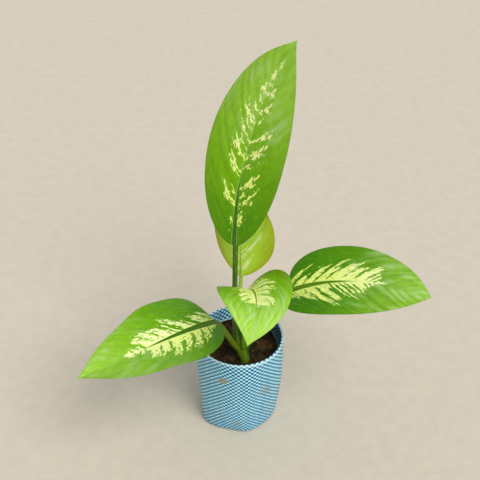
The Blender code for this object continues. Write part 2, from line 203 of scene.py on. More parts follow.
# Colours, linear RGB
LEAF_DEEP = (0.066, 0.248, 0.001, 1)
LEAF_MIDDLE = (0.208, 0.472, 0.003, 1)
# Lighter, whitish green towards the tip: partly the blade's own paler tip, partly painted sheen
LEAF_PALE_AND_SHEEN = (0.300, 0.560, 0.045, 1)
RIGHT_DEEP = (0.050, 0.218, 0.001, 1)
RIGHT_MIDDLE = (0.105, 0.315, 0.003, 1)
FRONT_DEEP = (0.115, 0.350, 0.001, 1)
FRONT_MIDDLE = (0.195, 0.470, 0.001, 1)
FRONT_LIGHT = (0.380, 0.680, 0.060, 1)
YOUNG_OLIVE = (0.380, 0.430, 0.004, 1)
FRONT_OLIVE = (0.130, 0.230, 0.002, 1)
# Greens of the back leaf, brighter than the other leaves: painted light, standing in for light shining
# through the leaf where the top leaf shades it
PAINTED_LIGHT_GREEN_DEEP = (0.450, 0.730, 0.030, 1)
PAINTED_LIGHT_GREEN_MIDDLE = (0.500, 0.800, 0.060, 1)
PAINTED_LIGHT_GREEN_PALE = (0.520, 0.800, 0.090, 1)
STREAK = (0.560, 0.760, 0.250, 1)
RIB_DARK = (0.050, 0.170, 0.002, 1)
RIB_OLIVE = (0.110, 0.250, 0.004, 1)
YOUNG_RIB = (0.330, 0.520, 0.040, 1)
# Pale greyish green laid on the swells of the blades: painted sheen
PAINTED_SHEEN = (0.480, 0.680, 0.290, 1)
CREAM_YELLOW = (0.860, 0.990, 0.220, 1)
CREAM_WHITE = (0.850, 0.930, 0.400, 1)
# Cream of the back leaf, brightened in the same way: painted light
CREAM_PAINTED_LIGHT = (0.880, 1.000, 0.420, 1)
MARGIN = (0.090, 0.170, 0.004, 1)
UNDERSIDE = (0.230, 0.420, 0.050, 1)
STALK_DARK = (0.045, 0.110, 0.002, 1)
STALK_GREEN = (0.110, 0.240, 0.006, 1)
STALK_OLIVE = (0.110, 0.170, 0.003, 1)
STALK_YELLOW = (0.230, 0.340, 0.010, 1)
STALK_PALE = (0.240, 0.400, 0.030, 1)
STALK_BRIGHT = (0.420, 0.600, 0.110, 1)
STEM_GREEN = (0.110, 0.180, 0.004, 1)
STEM_BROWN = (0.110, 0.075, 0.020, 1)
TAPE_LIGHT = (0.500, 0.960, 1.000, 1)
HEM_PALE = (0.680, 0.900, 0.930, 1)
TAPE_BLUE = (0.001, 0.090, 0.340, 1)
DIRT = (0.330, 0.250, 0.120, 1)
# Painted shade for the cuff inside the rim
CUFF_PAINTED_SHADE = (0.006, 0.009, 0.010, 1)
SOIL_DARK = (0.010, 0.006, 0.002, 1)
SOIL_BROWN = (0.095, 0.052, 0.013, 1)
PERLITE_WHITE = (0.700, 0.650, 0.540, 1)
BARK_BROWN = (0.150, 0.075, 0.026, 1)
FLOOR_PALE = (0.640, 0.570, 0.470, 1)
STEM_PALE = (0.130, 0.210, 0.020, 1)
TAPE_LIGHT_DULL = (0.360, 0.800, 0.960, 1)
TAPE_BLUE_DARK = (0.001, 0.035, 0.140, 1)
# Painted shade for the gaps between the tapes
TAPE_GAP_SHADE = (0.004, 0.050, 0.110, 1)
TAPE_FADED = (0.500, 0.660, 0.660, 1)
TAPE_LOW = (0.020, 0.220, 0.420, 1)
TAPE_LINING = (0.006, 0.016, 0.022, 1)
KEY_COLOUR = (1.0, 0.98, 0.94)
SKY_COLOUR = (0.94, 0.97, 1.0, 1)

# Gloss: the specular level of each surface, and the roughness of the plain ones
TAPE_GLOSS = 0.30
SOIL_GLOSS = 0.25
STALK_GLOSS = 0.40
FLOOR_GLOSS = 0.20
TAPE_ROUGHNESS = 0.34
SOIL_ROUGHNESS = 0.92
SPECK_ROUGHNESS = 0.85
STALK_ROUGHNESS = 0.38
FLOOR_ROUGHNESS = 0.90

# Noise in the room: features for each metre, detail and roughness
WEAR_NOISE = (28, 4, 0.6)
CUFF_SHADE_NOISE = (60, 4, 0.6)
MUD_NOISE = (420, 4, 0.65)
SOIL_PATCH_NOISE = (90, 5, 0.6)
SOIL_SPECK_NOISE = (900, 3, 0.6)
SOIL_RELIEF_NOISE = (1500, 4, 0.7)
CHIP_NOISE = (700, 4, 0.6)
CHIP_RELIEF_NOISE = (1800, 3, 0.6)
STALK_STRETCH = (900, 900, 70)
STALK_NOISE = (1.0, 3.0, 0.6)
FOOT_NOISE = (350, 3, 0.5)
FLOOR_NOISE = (60, 5, 0.6)

# Noise on a blade: features along and across it, its own shift, detail and roughness
BROAD_NOISE = (7.0, 2.0, 40.0, 3.0, 0.6)
FINE_NOISE = (110.0, 4.0, 50.0, 2.0, 0.5)
MOTTLE_NOISE = (28.0, 12.0, 90.0, 3.0, 0.6)
PATCH_NOISE = (5.0, 2.5, 60.0, 2.0, 0.5)
SHEEN_RAY_NOISE = (11.0, 2.0, 80.0, 2.0, 0.5)
SHEEN_NOISE = (6.0, 2.2, 70.0, 2.0, 0.5)
SWAY_NOISE = (9.0, 3.0, 0.0, 2.0, 0.5)
WOBBLE_NOISE = (34.0, 10.0, 5.0, 2.0, 0.5)
REACH_NOISE = (34.0, 10.0, 8.0, 2.0, 0.5)
FRILL_NOISE = (80.0, 16.0, 3.0, 3.0, 0.6)
HOLE_NOISE = (50.0, 15.0, 21.0, 2.0, 0.5)
FLECK_NOISE = (56.0, 16.0, 11.0, 2.5, 0.5)

# Marks: the two values of its field between which each one comes or goes, and its strength
DEEP_BLOTCH = (-0.02, 0.28, 0.40)
DEEP_MOTTLE = (0.48, 0.68, 0.25)
LIGHT_MOTTLE = (0.32, 0.50, 0.18)
MARGIN_LINE = (0.975, 0.998, 0.45)
# Where the painted shade in the gaps between tapes comes in, and its strength
TAPE_GAP_SHADE_MARK = (0.40, 0.50, 0.25)
LOW_ON_BAG = (0.0, 0.030, 0.15)

# What a leaf has where its own form says nothing else
COMMON = {"creams": (CREAM_YELLOW, CREAM_WHITE), "pale_right": 0.0, "sheen_rays": 0.0, "margin_end": 2.0}

# Each leaf's form, as the imported solid has it. A pair is for the left and the right half of the blade.
# For arch, sweep and fold it runs from base to tip, for the petiole's radius from foot to blade, and
# bow is how far the stalk runs on straight at its foot and before the blade.
# Its veins: how many show along the midrib, how far they lean to the tip, and how much more near it.
# Its cream: how many fingers, their sets and shape, how far each forks, how frayed, holed and gappy
# they are, how many flecks lie beyond, how much paler the right half is, the two tones, and how far
# the cream reaches towards each edge at places from base to tip.
# Its greens: deep, middle and light, where along the blade the second and third take over, and how
# strong the painted shade is on each half near the base. Then the strength of painted shade in the
# grooves along the veins, of pale streaks, of painted sheen and of painted sheen rays near the tip, the
# rim's colour, strength and end, and the midrib's colour, half width in millimetres and end.
LEAVES = {
    "leaf_top": {
        "base": (-0.0061, 0.0000, 0.2475), "heading": 88.7, "rise": 73.4, "roll": 32.3,
        "arch": (4, 5), "sweep": (32.2, 36.3), "twist": 3.5, "length": 0.2424,
        "half_width": (0.0496, 0.0498), "bluntness": (0.54, 0.62), "taper": (0.70, 0.79),
        "point": 0.7, "fold": (8.8, 6.3), "curl": (0.101, 0.094), "wave": 0.0004,
        "stem_place": 1, "stem_side": 0, "lean": 0, "petiole_radius": (0.0046, 0.0030),
        "bow": (0.018, 0.050),
        "slot": "leaf_tissue", "seed": 7.0, "stalk": (STALK_DARK, STALK_GREEN),
        "veins": 12, "vein_lean": (0.75, 0.55), "vein_sweep": 0.3,
        "fingers": 13, "finger_sets": LOOSE_SETS, "finger": LOOSE_FINGER, "fork": 0.5,
        "fray": 1.8, "holes": 0.9, "gaps": 0.18, "flecks": 0.06,
        "cream_left": ((0.0, 0.28), (0.12, 0.38), (0.30, 0.55), (0.52, 0.50), (0.72, 0.25), (0.94, 0.0)),
        "cream_right": ((0.0, 0.28), (0.12, 0.40), (0.30, 0.52), (0.52, 0.50), (0.72, 0.28), (0.94, 0.0)),
        "greens": (LEAF_DEEP, LEAF_MIDDLE, LEAF_PALE_AND_SHEEN),
        "deep_span": (-0.05, 0.42), "light_span": (0.4, 0.9), "depth": (0.15, 0.55),
        "groove_shade": 0.35, "streaks": 0.10, "sheen_strength": 0.4,
        "margin": (MARGIN, 0.15),
        "rib": RIB_DARK, "rib_width": 3.0, "rib_end": 0.45,
    },
    "leaf_back": {
        "base": (0.0007, 0.0374, 0.1760), "heading": 55.6, "rise": 91, "roll": -9.4,
        "arch": (1.2, 3.2), "sweep": (3.6, 2.2), "twist": 5.3, "length": 0.1338,
        "half_width": (0.0374, 0.0398), "bluntness": (0.63, 0.71), "taper": (0.81, 0.87),
        "point": 0.3, "fold": (-8, 3), "curl": (0.093, 0.130), "wave": 0.0008,
        "stem_place": 0.74, "stem_side": 120, "lean": 0.8, "petiole_radius": (0.0032, 0.0023),
        "bow": (0.018, 0.016),
        "slot": "young_leaf_tissue", "seed": 11.0, "stalk": (STALK_PALE, STALK_BRIGHT),
        "veins": 12, "vein_lean": (1.1, 1.1), "vein_sweep": 0.8,
        "fingers": 7, "finger_sets": LOOSE_SETS, "finger": LOOSE_FINGER, "fork": 0.25,
        "fray": 1.2, "holes": 0.4, "gaps": 0.0, "flecks": 0.03,
        "creams": (CREAM_WHITE, CREAM_PAINTED_LIGHT),
        "cream_left": ((0.05, 0.45), (0.2, 0.65), (0.5, 0.60), (0.7, 0.0)),
        "cream_right": ((0.05, 0.45), (0.2, 0.70), (0.5, 0.60), (0.7, 0.0)),
        "greens": (PAINTED_LIGHT_GREEN_DEEP, PAINTED_LIGHT_GREEN_MIDDLE, PAINTED_LIGHT_GREEN_PALE),
        "deep_span": (0.0, 0.2), "light_span": (0.4, 0.9), "depth": (0.0, 0.0),
        "groove_shade": 0.20, "streaks": 0.30, "sheen_strength": 0.3,
        "margin": (YOUNG_OLIVE, 0.8),
        "rib": YOUNG_RIB, "rib_width": 1.2, "rib_end": 0.5,
    },
    "leaf_front": {
        "base": (0.0061, -0.0216, 0.1973), "heading": -68.5, "rise": 51.4, "roll": -9.1,
        "arch": (72.6, 55.6), "sweep": (45.6, 28.4), "twist": 35.3, "length": 0.1483,
        "half_width": (0.0429, 0.0429), "bluntness": (0.70, 0.62), "taper": (1.13, 1.06),
        "point": 0.25, "fold": (37, 1.6), "curl": (0.097, 0.125), "wave": 0.0002,
        "stem_place": 0.74, "stem_side": -58, "lean": 0.95, "petiole_radius": (0.0030, 0.0026),
        "bow": (0.018, 0.012),
        "slot": "young_leaf_tissue", "seed": 23.0, "stalk": (STALK_GREEN, STALK_PALE),
        "veins": 12, "vein_lean": (0.15, 0.0), "vein_sweep": 3.0,
        "fingers": 14, "finger_sets": FULL_SETS, "finger": FULL_FINGER, "fork": 0.35,
        "fray": 1.3, "holes": 0.4, "gaps": 0.10, "flecks": 0.04,
        "cream_left": ((0.0, 0.60), (0.25, 0.64), (0.50, 0.56), (0.62, 0.0)),
        "cream_right": ((0.0, 0.66), (0.25, 0.64), (0.48, 0.50), (0.60, 0.0)),
        "greens": (FRONT_DEEP, FRONT_MIDDLE, FRONT_LIGHT),
        "deep_span": (0.05, 0.45), "light_span": (0.50, 0.85), "depth": (0.0, 0.2),
        "groove_shade": 0.15, "streaks": 0.1, "sheen_strength": 0.6, "sheen_rays": 0.6,
        "margin": (FRONT_OLIVE, 0.7), "margin_end": 0.55,
        "rib": RIB_OLIVE, "rib_width": 1.7, "rib_end": 0.85,
    },
    "leaf_right": {
        "base": (0.0561, -0.0051, 0.1864), "heading": -18.5, "rise": 36.3, "roll": -18.8,
        "arch": (31.7, 23.2), "sweep": (29.3, 28.1), "twist": -7.8, "length": 0.1725,
        "half_width": (0.0453, 0.0469), "bluntness": (0.35, 0.30), "taper": (0.705, 0.70),
        "point": 0.5, "fold": (21.8, -6.8), "curl": (0.083, 0.049), "wave": 0.0004,
        "stem_place": 0.66, "stem_side": 16, "lean": 0.9, "petiole_radius": (0.0036, 0.0028),
        "bow": (0.016, 0.020),
        "slot": "leaf_tissue", "seed": 31.0, "stalk": (STALK_DARK, STALK_GREEN),
        "veins": 10, "vein_lean": (1.0, 1.0), "vein_sweep": 0.8,
        "fingers": 11, "finger_sets": FULL_SETS, "finger": FULL_FINGER, "fork": 0.3,
        "fray": 1.5, "holes": 0.45, "gaps": 0.08, "flecks": 0.07,
        "cream_left": ((0.0, 0.50), (0.15, 0.68), (0.42, 0.60), (0.58, 0.28), (0.72, 0.0)),
        "cream_right": ((0.0, 0.52), (0.15, 0.66), (0.38, 0.56), (0.54, 0.22), (0.68, 0.0)),
        "greens": (RIGHT_DEEP, RIGHT_MIDDLE, LEAF_PALE_AND_SHEEN),
        "deep_span": (0.0, 0.45), "light_span": (0.45, 1.05), "depth": (0.30, 0.70),
        "groove_shade": 0.45, "streaks": 0.12, "sheen_strength": 0.55,
        "margin": (MARGIN, 0.10),
        "rib": RIB_OLIVE, "rib_width": 3.8, "rib_end": 0.62,
    },
    "leaf_left": {
        "base": (-0.0269, -0.0305, 0.1631), "heading": 221.7, "rise": 18.9, "roll": 4.3,
        "arch": (32.3, 12.1), "sweep": (-12.1, 32.5), "twist": 4.5, "length": 0.1833,
        "half_width": (0.0520, 0.0534), "bluntness": (0.60, 0.23), "taper": (0.90, 0.79),
        "point": 0.7, "fold": (4.5, 16.2), "curl": (-0.064, 0.016), "wave": 0.0017,
        "stem_place": 0.75, "stem_side": 208, "lean": 0.9, "petiole_radius": (0.0042, 0.0031),
        "bow": (0.010, 0.010),
        "slot": "leaf_tissue", "seed": 47.0, "stalk": (STALK_OLIVE, STALK_YELLOW),
        "veins": 11, "vein_lean": (0.15, 0.75), "vein_sweep": 0.9,
        "fingers": 13, "finger_sets": FULL_SETS, "finger": FULL_FINGER, "fork": 0.35,
        "fray": 1.9, "holes": 0.9, "gaps": 0.12, "flecks": 0.07, "pale_right": 0.45,
        "cream_left": ((0.02, 0.48), (0.15, 0.68), (0.42, 0.58), (0.56, 0.32), (0.70, 0.0)),
        "cream_right": ((0.02, 0.42), (0.15, 0.58), (0.40, 0.52), (0.56, 0.26), (0.72, 0.0)),
        "greens": (LEAF_DEEP, LEAF_MIDDLE, LEAF_PALE_AND_SHEEN),
        "deep_span": (-0.15, 0.40), "light_span": (0.45, 1.0), "depth": (0.75, 0.70),
        "groove_shade": 0.20, "streaks": 0.10, "sheen_strength": 0.4,
        "margin": (MARGIN, 0.12),
        "rib": RIB_DARK, "rib_width": 4.4, "rib_end": 0.72,
    },
}

# Shader arithmetic


class Field:
    """A value that varies over a surface: the output of a shader node, with arithmetic."""

    def __init__(self, tree, socket):
        self.tree = tree
        self.socket = socket

    def __add__(self, other):
        return maths("ADD", self, other)

    def __sub__(self, other):
        return maths("SUBTRACT", self, other)

    def __rsub__(self, other):
        return maths("SUBTRACT", other, self)

    def __mul__(self, other):
        return maths("MULTIPLY", self, other)

    def __truediv__(self, other):
        return maths("DIVIDE", self, other)

    def __abs__(self):
        return maths("ABSOLUTE", self)

    __radd__ = __add__
    __rmul__ = __mul__


def feed(tree, value, socket):
    """Sets a socket to a number or colour, or links a field to it."""
    if isinstance(value, Field):
        tree.links.new(value.socket, socket)
    else:
        socket.default_value = value


def maths(operation, *values):
    tree = next(value.tree for value in values if isinstance(value, Field))
    node = tree.nodes.new("ShaderNodeMath")
    node.operation = operation
    for value, socket in zip(values, node.inputs):
        feed(tree, value, socket)
    return Field(tree, node.outputs[0])


def highest(fields):
    """The highest of several fields at each place."""
    top = fields[0]
    for field in fields[1:]:
        top = maths("MAXIMUM", top, field)
    return top


def step_up(field, low, high):
    """0 where the field is under low, 1 over high, and smooth between."""
    node = field.tree.nodes.new("ShaderNodeMapRange")
    node.interpolation_type = "SMOOTHSTEP"
    feed(field.tree, field, node.inputs["Value"])
    feed(field.tree, low, node.inputs["From Min"])
    feed(field.tree, high, node.inputs["From Max"])
    return Field(field.tree, node.outputs["Result"])


def step_down(field, low, high):
    """1 where the field is under low, 0 over high, and smooth between."""
    return 1.0 - step_up(field, low, high)


def marked(field, mark):
    """0 where the field is low, and a mark's strength where it is high."""
    low, high, strength = mark
    return step_up(field, low, high) * strength


def marked_below(field, mark):
    """A mark's strength where the field is low, and 0 where it is high."""
    low, high, strength = mark
    return step_down(field, low, high) * strength


def vector(tree, x, y, z):
    node = tree.nodes.new("ShaderNodeCombineXYZ")
    for value, socket in zip((x, y, z), node.inputs):
        feed(tree, value, socket)
    return Field(tree, node.outputs[0])


def grain(place, scale=1.0, detail=2.0, roughness=0.5):
    """Noise from 0 to 1 at a place, which is a vector field."""
    node = place.tree.nodes.new("ShaderNodeTexNoise")
    feed(place.tree, place, node.inputs["Vector"])
    node.inputs["Scale"].default_value = scale
    node.inputs["Detail"].default_value = detail
    node.inputs["Roughness"].default_value = roughness
    return Field(place.tree, node.outputs[0])


def blade_noise(along, across, lane, kind):
    """Noise from 0 to 1 over a blade, in a lane that no other half of a blade has."""
    along_scale, across_scale, shift, detail, roughness = kind
    spot = vector(lane.tree, along * along_scale, across * across_scale, lane + shift)
    return grain(spot, 1.0, detail, roughness)


def darker(tone, share):
    return tuple(channel * share for channel in tone[:3]) + (1,)


def mix(amount, first, second):
    """The first colour where amount is 0, and the second where it is 1."""
    node = amount.tree.nodes.new("ShaderNodeMix")
    node.data_type = "RGBA"
    feed(amount.tree, amount, node.inputs[0])
    feed(amount.tree, first, node.inputs[6])
    feed(amount.tree, second, node.inputs[7])
    return Field(amount.tree, node.outputs[2])


def ramp(field, stops):
    """Straight-line interpolation between stops, which are pairs of a place from 0 to 1 and a value."""
    node = field.tree.nodes.new("ShaderNodeValToRGB")
    for _ in stops[2:]:
        node.color_ramp.elements.new(0.5)
    for element, (place, value) in zip(node.color_ramp.elements, stops):
        element.position = place
        element.color = (value, value, value, 1)
    feed(field.tree, field, node.inputs[0])
    return Field(field.tree, node.outputs[0])


def chance(field):
    """A random value from 0 to 1 for each whole number."""
    node = field.tree.nodes.new("ShaderNodeTexWhiteNoise")
    node.noise_dimensions = "1D"
    feed(field.tree, field, node.inputs["W"])
    return Field(field.tree, node.outputs["Value"])


def parts_of(field):
    """The three numbers of a vector field."""
    split = field.tree.nodes.new("ShaderNodeSeparateXYZ")
    feed(field.tree, field, split.inputs[0])
    return [Field(field.tree, socket) for socket in split.outputs]


def attribute(tree, name):
    """The three numbers of a vector attribute, as fields."""
    read = tree.nodes.new("ShaderNodeAttribute")
    read.attribute_name = name
    return parts_of(Field(tree, read.outputs["Vector"]))


def place_of(tree):
    return Field(tree, tree.nodes.new("ShaderNodeTexCoord").outputs["Object"])


def new_material(name, gloss, tint=(1, 1, 1, 1)):
    made = bpy.data.materials.new(name)
    made.use_nodes = True
    shader = made.node_tree.nodes["Principled BSDF"]
    shader.inputs["Specular IOR Level"].default_value = gloss
    shader.inputs["Specular Tint"].default_value = tint
    return made, made.node_tree


def finished(made, colour, roughness):
    """Gives a material its colour and roughness."""
    tree = made.node_tree
    shader = tree.nodes["Principled BSDF"]
    feed(tree, colour, shader.inputs["Base Color"])
    feed(tree, roughness, shader.inputs["Roughness"])
    return made


def with_relief(made, height, distance, strength):
    """Gives a material its finest relief, which is too small for the mesh."""
    tree = made.node_tree
    bump = tree.nodes.new("ShaderNodeBump")
    bump.inputs["Distance"].default_value = distance
    bump.inputs["Strength"].default_value = strength
    feed(tree, height, bump.inputs["Height"])
    tree.links.new(bump.outputs["Normal"], tree.nodes["Principled BSDF"].inputs["Normal"])
    return made


# Meshes


def mesh_object(name, points, faces, look, fields=None, sharp=60):
    """A smooth mesh object from arrays of points and faces, with vector attributes at its points."""
    mesh = bpy.data.meshes.new(name)
    mesh.from_pydata(np.asarray(points).tolist(), [], faces)
    mesh.validate()
    mesh.materials.append(look)
    for field, values in (fields or {}).items():
        layer = mesh.attributes.new(field, "FLOAT_VECTOR", "POINT")
        layer.data.foreach_set("vector", np.asarray(values, np.float32).ravel())
    mesh.shade_smooth()
    mesh.set_sharp_from_angle(angle=math.radians(sharp))
    obj = bpy.data.objects.new(name, mesh)
    bpy.context.scene.collection.objects.link(obj)
    return obj


def part_of_plant(obj, slot, *nodes):
    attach(obj, "root")
    if nodes:
        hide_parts(*nodes)
    return obj


def grid_faces(rows, columns, closed=False, first=0, flip=False):
    """Squares of a grid of points that is numbered row by row."""
    faces = []
    for row in range(rows - 1):
        for column in range(columns if closed else columns - 1):
            a = first + row * columns + column
            b = first + row * columns + (column + 1) % columns
            square = (a, b, b + columns, a + columns)
            faces.append(square[::-1] if flip else square)
    return faces


def band(first, second, count, flip=False):
    """Squares between two closed rings of points, given where each ring starts."""
    faces = []
    for side in range(count):
        after = (side + 1) % count
        square = (first + side, first + after, second + after, second + side)
        faces.append(square[::-1] if flip else square)
    return faces


def fan(first, tip, count, flip=False):
    """Triangles from a closed ring of points to one point."""
    faces = []
    for side in range(count):
        corner = (first + side, first + (side + 1) % count, tip)
        faces.append(corner[::-1] if flip else corner)
    return faces


def apart(angle, line):
    """How far an angle in degrees lies from another, from -180 to 180."""
    return (angle - line + 180) % 360 - 180


def between(pair, share):
    return pair[0] + (pair[1] - pair[0]) * share


def bezier(a, b, c, d, t):
    s = 1 - t
    return a * s**3 + b * 3 * s * s * t + c * 3 * s * t * t + d * t**3


# Grow bag


def bag_radius(angle, height):
    rim = 1 / np.hypot(np.cos(angle) / RIM_RADIUS_X, np.sin(angle) / RIM_RADIUS_Y)
    base = BASE_RADIUS + np.zeros_like(rim)
    for corner, rise, width in BASE_CORNERS:
        away = apart(np.degrees(angle), corner)
        base = base + rise * np.exp(-((away / width) ** 2))
    climb = np.clip(height / BAG_HEIGHT, 0, 1)
    return base + (rim - base) * (1 - (1 - climb) ** BAG_BELLY)


def bag_path(angle):
    """Inset and height along the woven sheet at one angle: base edge, wall, rim and cuff down to its hem."""
    points = []
    for step in range(BASE_EDGE_STEPS + 1):
        turn = math.radians(90 * step / BASE_EDGE_STEPS)
        points.append((BASE_ROUNDING * (1 - math.sin(turn)), BASE_ROUNDING * (1 - math.cos(turn))))
    fold = CUFF_FOLD / 2
    top = BAG_HEIGHT - fold
    points.extend((0, height) for height in np.linspace(WALL_START, top - WALL_END_BELOW_RIM, WALL_STEPS))
    for step in range(RIM_STEPS + 1):
        turn = math.radians(180 * step / RIM_STEPS)
        points.append((fold * (1 - math.cos(turn)), top + fold * math.sin(turn)))
    lean = CUFF_LEAN + CUFF_SAG * math.sin(2 * angle + 0.6) + 0.5 * CUFF_SAG * math.sin(5 * angle)
    drop = CUFF_DEPTH + CUFF_SAG * math.sin(3 * angle + 1.0)
    for share in np.linspace(CUFF_START, 1, CUFF_STEPS):
        points.append((CUFF_FOLD + lean * share**1.5, top - drop * share))
    return np.array(points)


def weave_relief(column, row):
    """Height of the woven surface: each tape rises where it passes over the crossing one."""
    across, down = column % 1, row % 1
    over = (np.floor(column) + np.floor(row)) % 2 < 0.5
    ridge = np.where(over, np.sin(math.pi * down), np.sin(math.pi * across))
    return TAPE_RELIEF * (TAPE_FLAT_SHARE + (1 - TAPE_FLAT_SHARE) * ridge)


def dents(angle, height):
    """How far the bag's wall bulges out or is pressed in at one angle, by height."""
    depth = BAG_DENT * np.sin(DENTS_ROUND * angle + DENT_CLIMB * height)
    for crease, lean, width, deep in BAG_CREASES:
        away = apart(math.degrees(angle), crease + lean * (height / BAG_HEIGHT - 0.5))
        depth = depth - deep * np.exp(-((away / width) ** 2))
    return depth * np.sin(math.pi * np.clip(height / BAG_HEIGHT, 0, 1))


def grow_bag():
    columns = np.array([cell + place for cell in range(TAPES_ROUND) for place in CELL_PLACES])
    angles = columns / TAPES_ROUND * 2 * math.pi
    paths = [bag_path(angle) for angle in angles]
    length = np.mean([np.hypot(*np.diff(path, axis=0).T).sum() for path in paths])
    count = round(length / ROW_HEIGHT)
    rows = np.array([cell + place for cell in range(count) for place in CELL_PLACES])
    sheets = {"out": [], "in": []}
    for column, angle, path in zip(columns, angles, paths):
        run = np.concatenate([[0], np.cumsum(np.hypot(*np.diff(path, axis=0).T))])
        sway = ROW_SWAY[0] * math.sin(2 * angle + 0.5) + ROW_SWAY[1] * math.sin(5 * angle)
        at = np.clip((rows + sway * np.sin(math.pi * rows / count)) / count, 0, 1) * run[-1]
        inset = np.interp(at, run, path[:, 0])
        height = np.interp(at, run, path[:, 1])
        ahead, climb = (
            np.interp(at + SLOPE_STEP, run, path[:, axis]) - np.interp(at - SLOPE_STEP, run, path[:, axis])
            for axis in (0, 1)
        )
        size = np.hypot(ahead, climb)
        out, up = climb / size, ahead / size
        radius = bag_radius(angle, height) - inset + dents(angle, height)
        relief = weave_relief(column, rows) - TAPE_RELIEF * RELIEF_SUNK
        for side, lift in (("out", relief), ("in", relief * INNER_RELIEF - BAG_SHEET)):
            spread = radius + lift * out
            z = np.maximum(height + lift * up, 0)
            sheets[side].append(np.stack([spread * math.cos(angle), spread * math.sin(angle), z], 1))
    outer = np.array(sheets["out"]).transpose(1, 0, 2)
    inner = np.array(sheets["in"]).transpose(1, 0, 2)
    high, wide = outer.shape[:2]
    points = np.concatenate([outer.reshape(-1, 3), inner.reshape(-1, 3)])
    faces = grid_faces(high, wide, closed=True)
    faces += grid_faces(high, wide, closed=True, first=high * wide, flip=True)
    hem = (high - 1) * wide
    faces += band(hem, hem + high * wide, wide)
    points, faces, floor_rows = close_floor(points, faces, wide, high)
    weave = [np.stack(np.meshgrid(columns, rows), -1).reshape(-1, 2)] * 2
    weave = np.concatenate(weave + [floor_rows])
    face_side = np.zeros(len(points))
    face_side[high * wide: 2 * high * wide] = 1
    weave = np.column_stack([weave, face_side])
    rim_row = float(np.interp(BAG_HEIGHT, np.maximum.accumulate(outer[:, 0, 2] + 0.0002), rows))
    look = bag_material(rim_row, float(rows[-1]))
    bag = mesh_object("woven_bag", points, faces, look, {"weave": weave})
    return part_of_plant(bag, "bag_weave", "grow_bag")


def close_floor(points, faces, wide, high):
    """Closes the bag's bottom, outside and inside, with rings of the sheet that run in to the middle."""
    added = [points]
    coordinates = []
    start = len(points)
    for first, height, flip in ((0, 0.0, True), (high * wide, BAG_SHEET * 2, False)):
        edge = points[first: first + wide]
        previous = first
        for share in FLOOR_RINGS:
            added.append(np.column_stack([edge[:, :2] * share, np.full(wide, height)]))
            faces += band(previous, start, wide, flip)
            columns = np.arange(wide) / len(CELL_PLACES)
            coordinates.append(np.column_stack([columns, np.full(wide, -share * FLOOR_ROWS)]))
            previous = start
            start += wide
        added.append(np.array([[0.0, 0.0, height]]))
        coordinates.append(np.array([[0.0, 0.0]]))
        faces += fan(previous, start, wide, flip)
        start += 1
    return np.concatenate(added), faces, np.concatenate(coordinates)


def bag_material(rim_row, last_row):
    """Woven flat tape in two blues, with paler hems and a little wear, dust and dried mud; painted shade in
    the gaps between the tapes and on the cuff inside the rim.
    """
    made, tree = new_material("woven_plastic_tape", TAPE_GLOSS)
    column, row, inside = attribute(tree, "weave")
    column_cell = maths("FLOOR", column)
    row_cell = maths("FLOOR", row)
    blue = maths("FLOORED_MODULO", column_cell + row_cell, 2.0)
    tape_tone = grain(vector(tree, column_cell * 3.7, row_cell * 0.05, 1.0), 1.0, 1.0)
    hoop_tone = grain(vector(tree, column_cell * 0.05, row_cell * 3.7, 5.0), 1.0, 1.0)
    pale = mix(step_up(tape_tone, 0.25, 0.75), TAPE_LIGHT_DULL, TAPE_LIGHT)
    deep = mix(step_up(hoop_tone, 0.25, 0.75), TAPE_BLUE_DARK, TAPE_BLUE)
    colour = mix(blue, pale, deep)
    across = abs(maths("FRACT", column) - 0.5)
    down = abs(maths("FRACT", row) - 0.5)
    # Painted shade: the edges of each cell darker, where the tapes dip into the gaps between them
    colour = mix(marked(maths("MAXIMUM", across, down), TAPE_GAP_SHADE_MARK), colour, TAPE_GAP_SHADE)
    place = place_of(tree)
    x, _, z = parts_of(place)
    faded = step_up(grain(place, *WEAR_NOISE), 0.45, 0.8)
    colour = mix(faded * 0.08, colour, TAPE_FADED)
    colour = mix(marked_below(z, LOW_ON_BAG), colour, TAPE_LOW)
    outer_hem = step_down(abs(row - rim_row), 0.25, 0.75)
    inner_hem = step_up(row, last_row - 0.9, last_row - 0.5)
    colour = mix(maths("MAXIMUM", outer_hem, inner_hem) * 0.6, colour, HEM_PALE)
    # Painted shade: the folded cuff inside the rim turns near black, strongest on the right, with a noisy
    # edge
    cuff_shade = step_up(grain(place, *CUFF_SHADE_NOISE) + x * 9.0, 0.45, 0.72)
    colour = mix(cuff_shade * step_up(row, rim_row + 0.6, rim_row + 1.6) * 0.85, colour, CUFF_PAINTED_SHADE)
    mud = dried_mud(tree, place)
    colour = mix(mud, colour, DIRT)
    colour = mix(inside * 0.75, colour, TAPE_LINING)
    finished(made, colour, TAPE_ROUGHNESS + mud * 0.5 + faded * 0.15)
    return with_relief(made, grain(vector(tree, column * 6.0, row * 6.0, 0.0)), 0.0002, 0.35)


def dried_mud(tree, place):
    """A few smears of dried mud with a rough edge."""
    rough_edge = grain(place, *MUD_NOISE) - 0.5
    smears = []
    for angle, height, size, strength in MUD_SMEARS:
        turn = math.radians(angle)
        radius = float(bag_radius(np.array(turn), height))
        away = tree.nodes.new("ShaderNodeVectorMath")
        away.operation = "DISTANCE"
        feed(tree, place, away.inputs[0])
        feed(tree, (radius * math.cos(turn), radius * math.sin(turn), height), away.inputs[1])
        near = Field(tree, away.outputs["Value"]) / size + rough_edge * 1.6
        smears.append(step_down(near, 0.55, 1.15) * strength)
    return highest(smears)


# Soil


